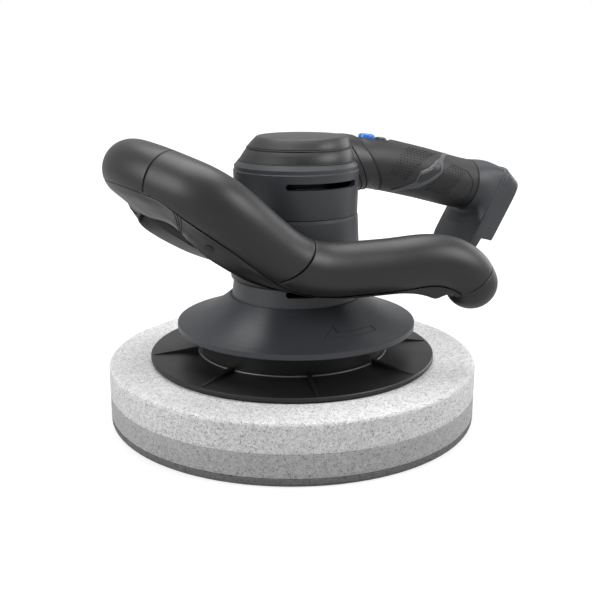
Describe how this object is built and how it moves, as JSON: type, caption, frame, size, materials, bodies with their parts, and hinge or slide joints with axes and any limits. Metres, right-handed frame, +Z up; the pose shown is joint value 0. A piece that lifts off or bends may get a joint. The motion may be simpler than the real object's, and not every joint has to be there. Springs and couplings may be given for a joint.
{
  "type": "cordless orbital polisher",
  "caption": "Hand-held battery polisher with a round layered foam pad on an orbiting backing plate, a skirted motor barrel, a two-handed bow handle and a rear grip with a battery foot.",
  "frame": {"origin": "on the motor axis, at the working face of the foam pad", "axes": "+Z up along the motor axis, +X towards the rear handle and battery foot, -X towards the front of the bow handle"},
  "size_m": [0.3072, 0.25, 0.1917],
  "materials": {
    "foam_dark": "fine open-cell foam",
    "foam_mid": "speckled open-cell foam",
    "foam_light": "speckled open-cell foam",
    "hook_fabric": "hook fastener sheet",
    "plate_plastic": "moulded satin",
    "fastener_steel": "zinc plated",
    "machined_steel": "machined",
    "cast_weight": "cast and turned",
    "copper": "drawn",
    "inner_plastic": "moulded",
    "housing_plastic": "fine moulded texture",
    "cap_plastic": "satin moulded",
    "soft_grip": "soft overmoulding",
    "trim_plastic": "satin moulded",
    "blue_button": "semi-gloss",
    "black_button": "semi-gloss"
  },
  "bodies": {
    "housing": {"motor_can": "machined_steel", "motor_magnets": "cast_weight", "motor_end_bell": "inner_plastic", "brush_holders": "copper", "carbon_brushes": "inner_plastic", "lower_bearing": "machined_steel", "upper_bearing": "machined_steel", "motor_screws": "fastener_steel", "skirt": "housing_plastic", "skirt_screws": "fastener_steel", "neck_housing": "housing_plastic", "upper_barrel": "housing_plastic", "cap_tier": "cap_plastic", "top_cap": "cap_plastic", "handle_core": "cap_plastic", "grip_front": "soft_grip", "grip_rear": "soft_grip", "grip_inlay": "trim_plastic", "switch_module": "inner_plastic", "button_bezel": "trim_plastic", "battery_foot": "housing_plastic", "battery_rails": "housing_plastic", "terminal_block": "inner_plastic", "terminal_blades": "copper", "bow_frame": "cap_plastic", "bow_front_cover": "cap_plastic", "bow_grip_near": "soft_grip", "bow_grip_far": "soft_grip", "bow_arm_near": "cap_plastic", "bow_arm_far": "cap_plastic", "bow_end_near": "cap_plastic", "bow_end_far": "cap_plastic", "bow_screws": "fastener_steel"},
    "rotor": {"motor_shaft": "machined_steel", "armature_core": "machined_steel", "armature_windings": "copper", "commutator": "copper", "cooling_fan": "inner_plastic", "eccentric_hub": "cast_weight", "pad_bearing": "machined_steel"},
    "pad": {"pad_spindle": "machined_steel", "spindle_clip": "fastener_steel", "spindle_bolt": "fastener_steel", "pad_collar": "plate_plastic", "collar_screws": "fastener_steel", "backing_plate": "plate_plastic", "hook_sheet": "hook_fabric", "foam_light": "foam_light", "foam_mid": "foam_mid", "foam_dark": "foam_dark"},
    "power_key": {"power_button": "blue_button"},
    "stop_key": {"stop_button": "black_button"}
  },
  "joints": [
    {"name": "rotor_spin", "type": "hinge", "parent": "housing", "child": "rotor", "pos_m": [0, 0, 0.08], "axis": [0, 0, 1], "continuous": true},
    {"name": "pad_spin", "type": "hinge", "parent": "rotor", "child": "pad", "pos_m": [-0.003, 0, 0.06], "axis": [0, 0, 1], "continuous": true},
    {"name": "power_press", "type": "slide", "parent": "housing", "child": "power_key", "axis": [-0.1392, 0, -0.9903], "range_m": [0, 0.0015], "stiffness_N_per_m": 600},
    {"name": "stop_press", "type": "slide", "parent": "housing", "child": "stop_key", "axis": [-0.1392, 0, -0.9903], "range_m": [0, 0.0015], "stiffness_N_per_m": 600}
  ]
}
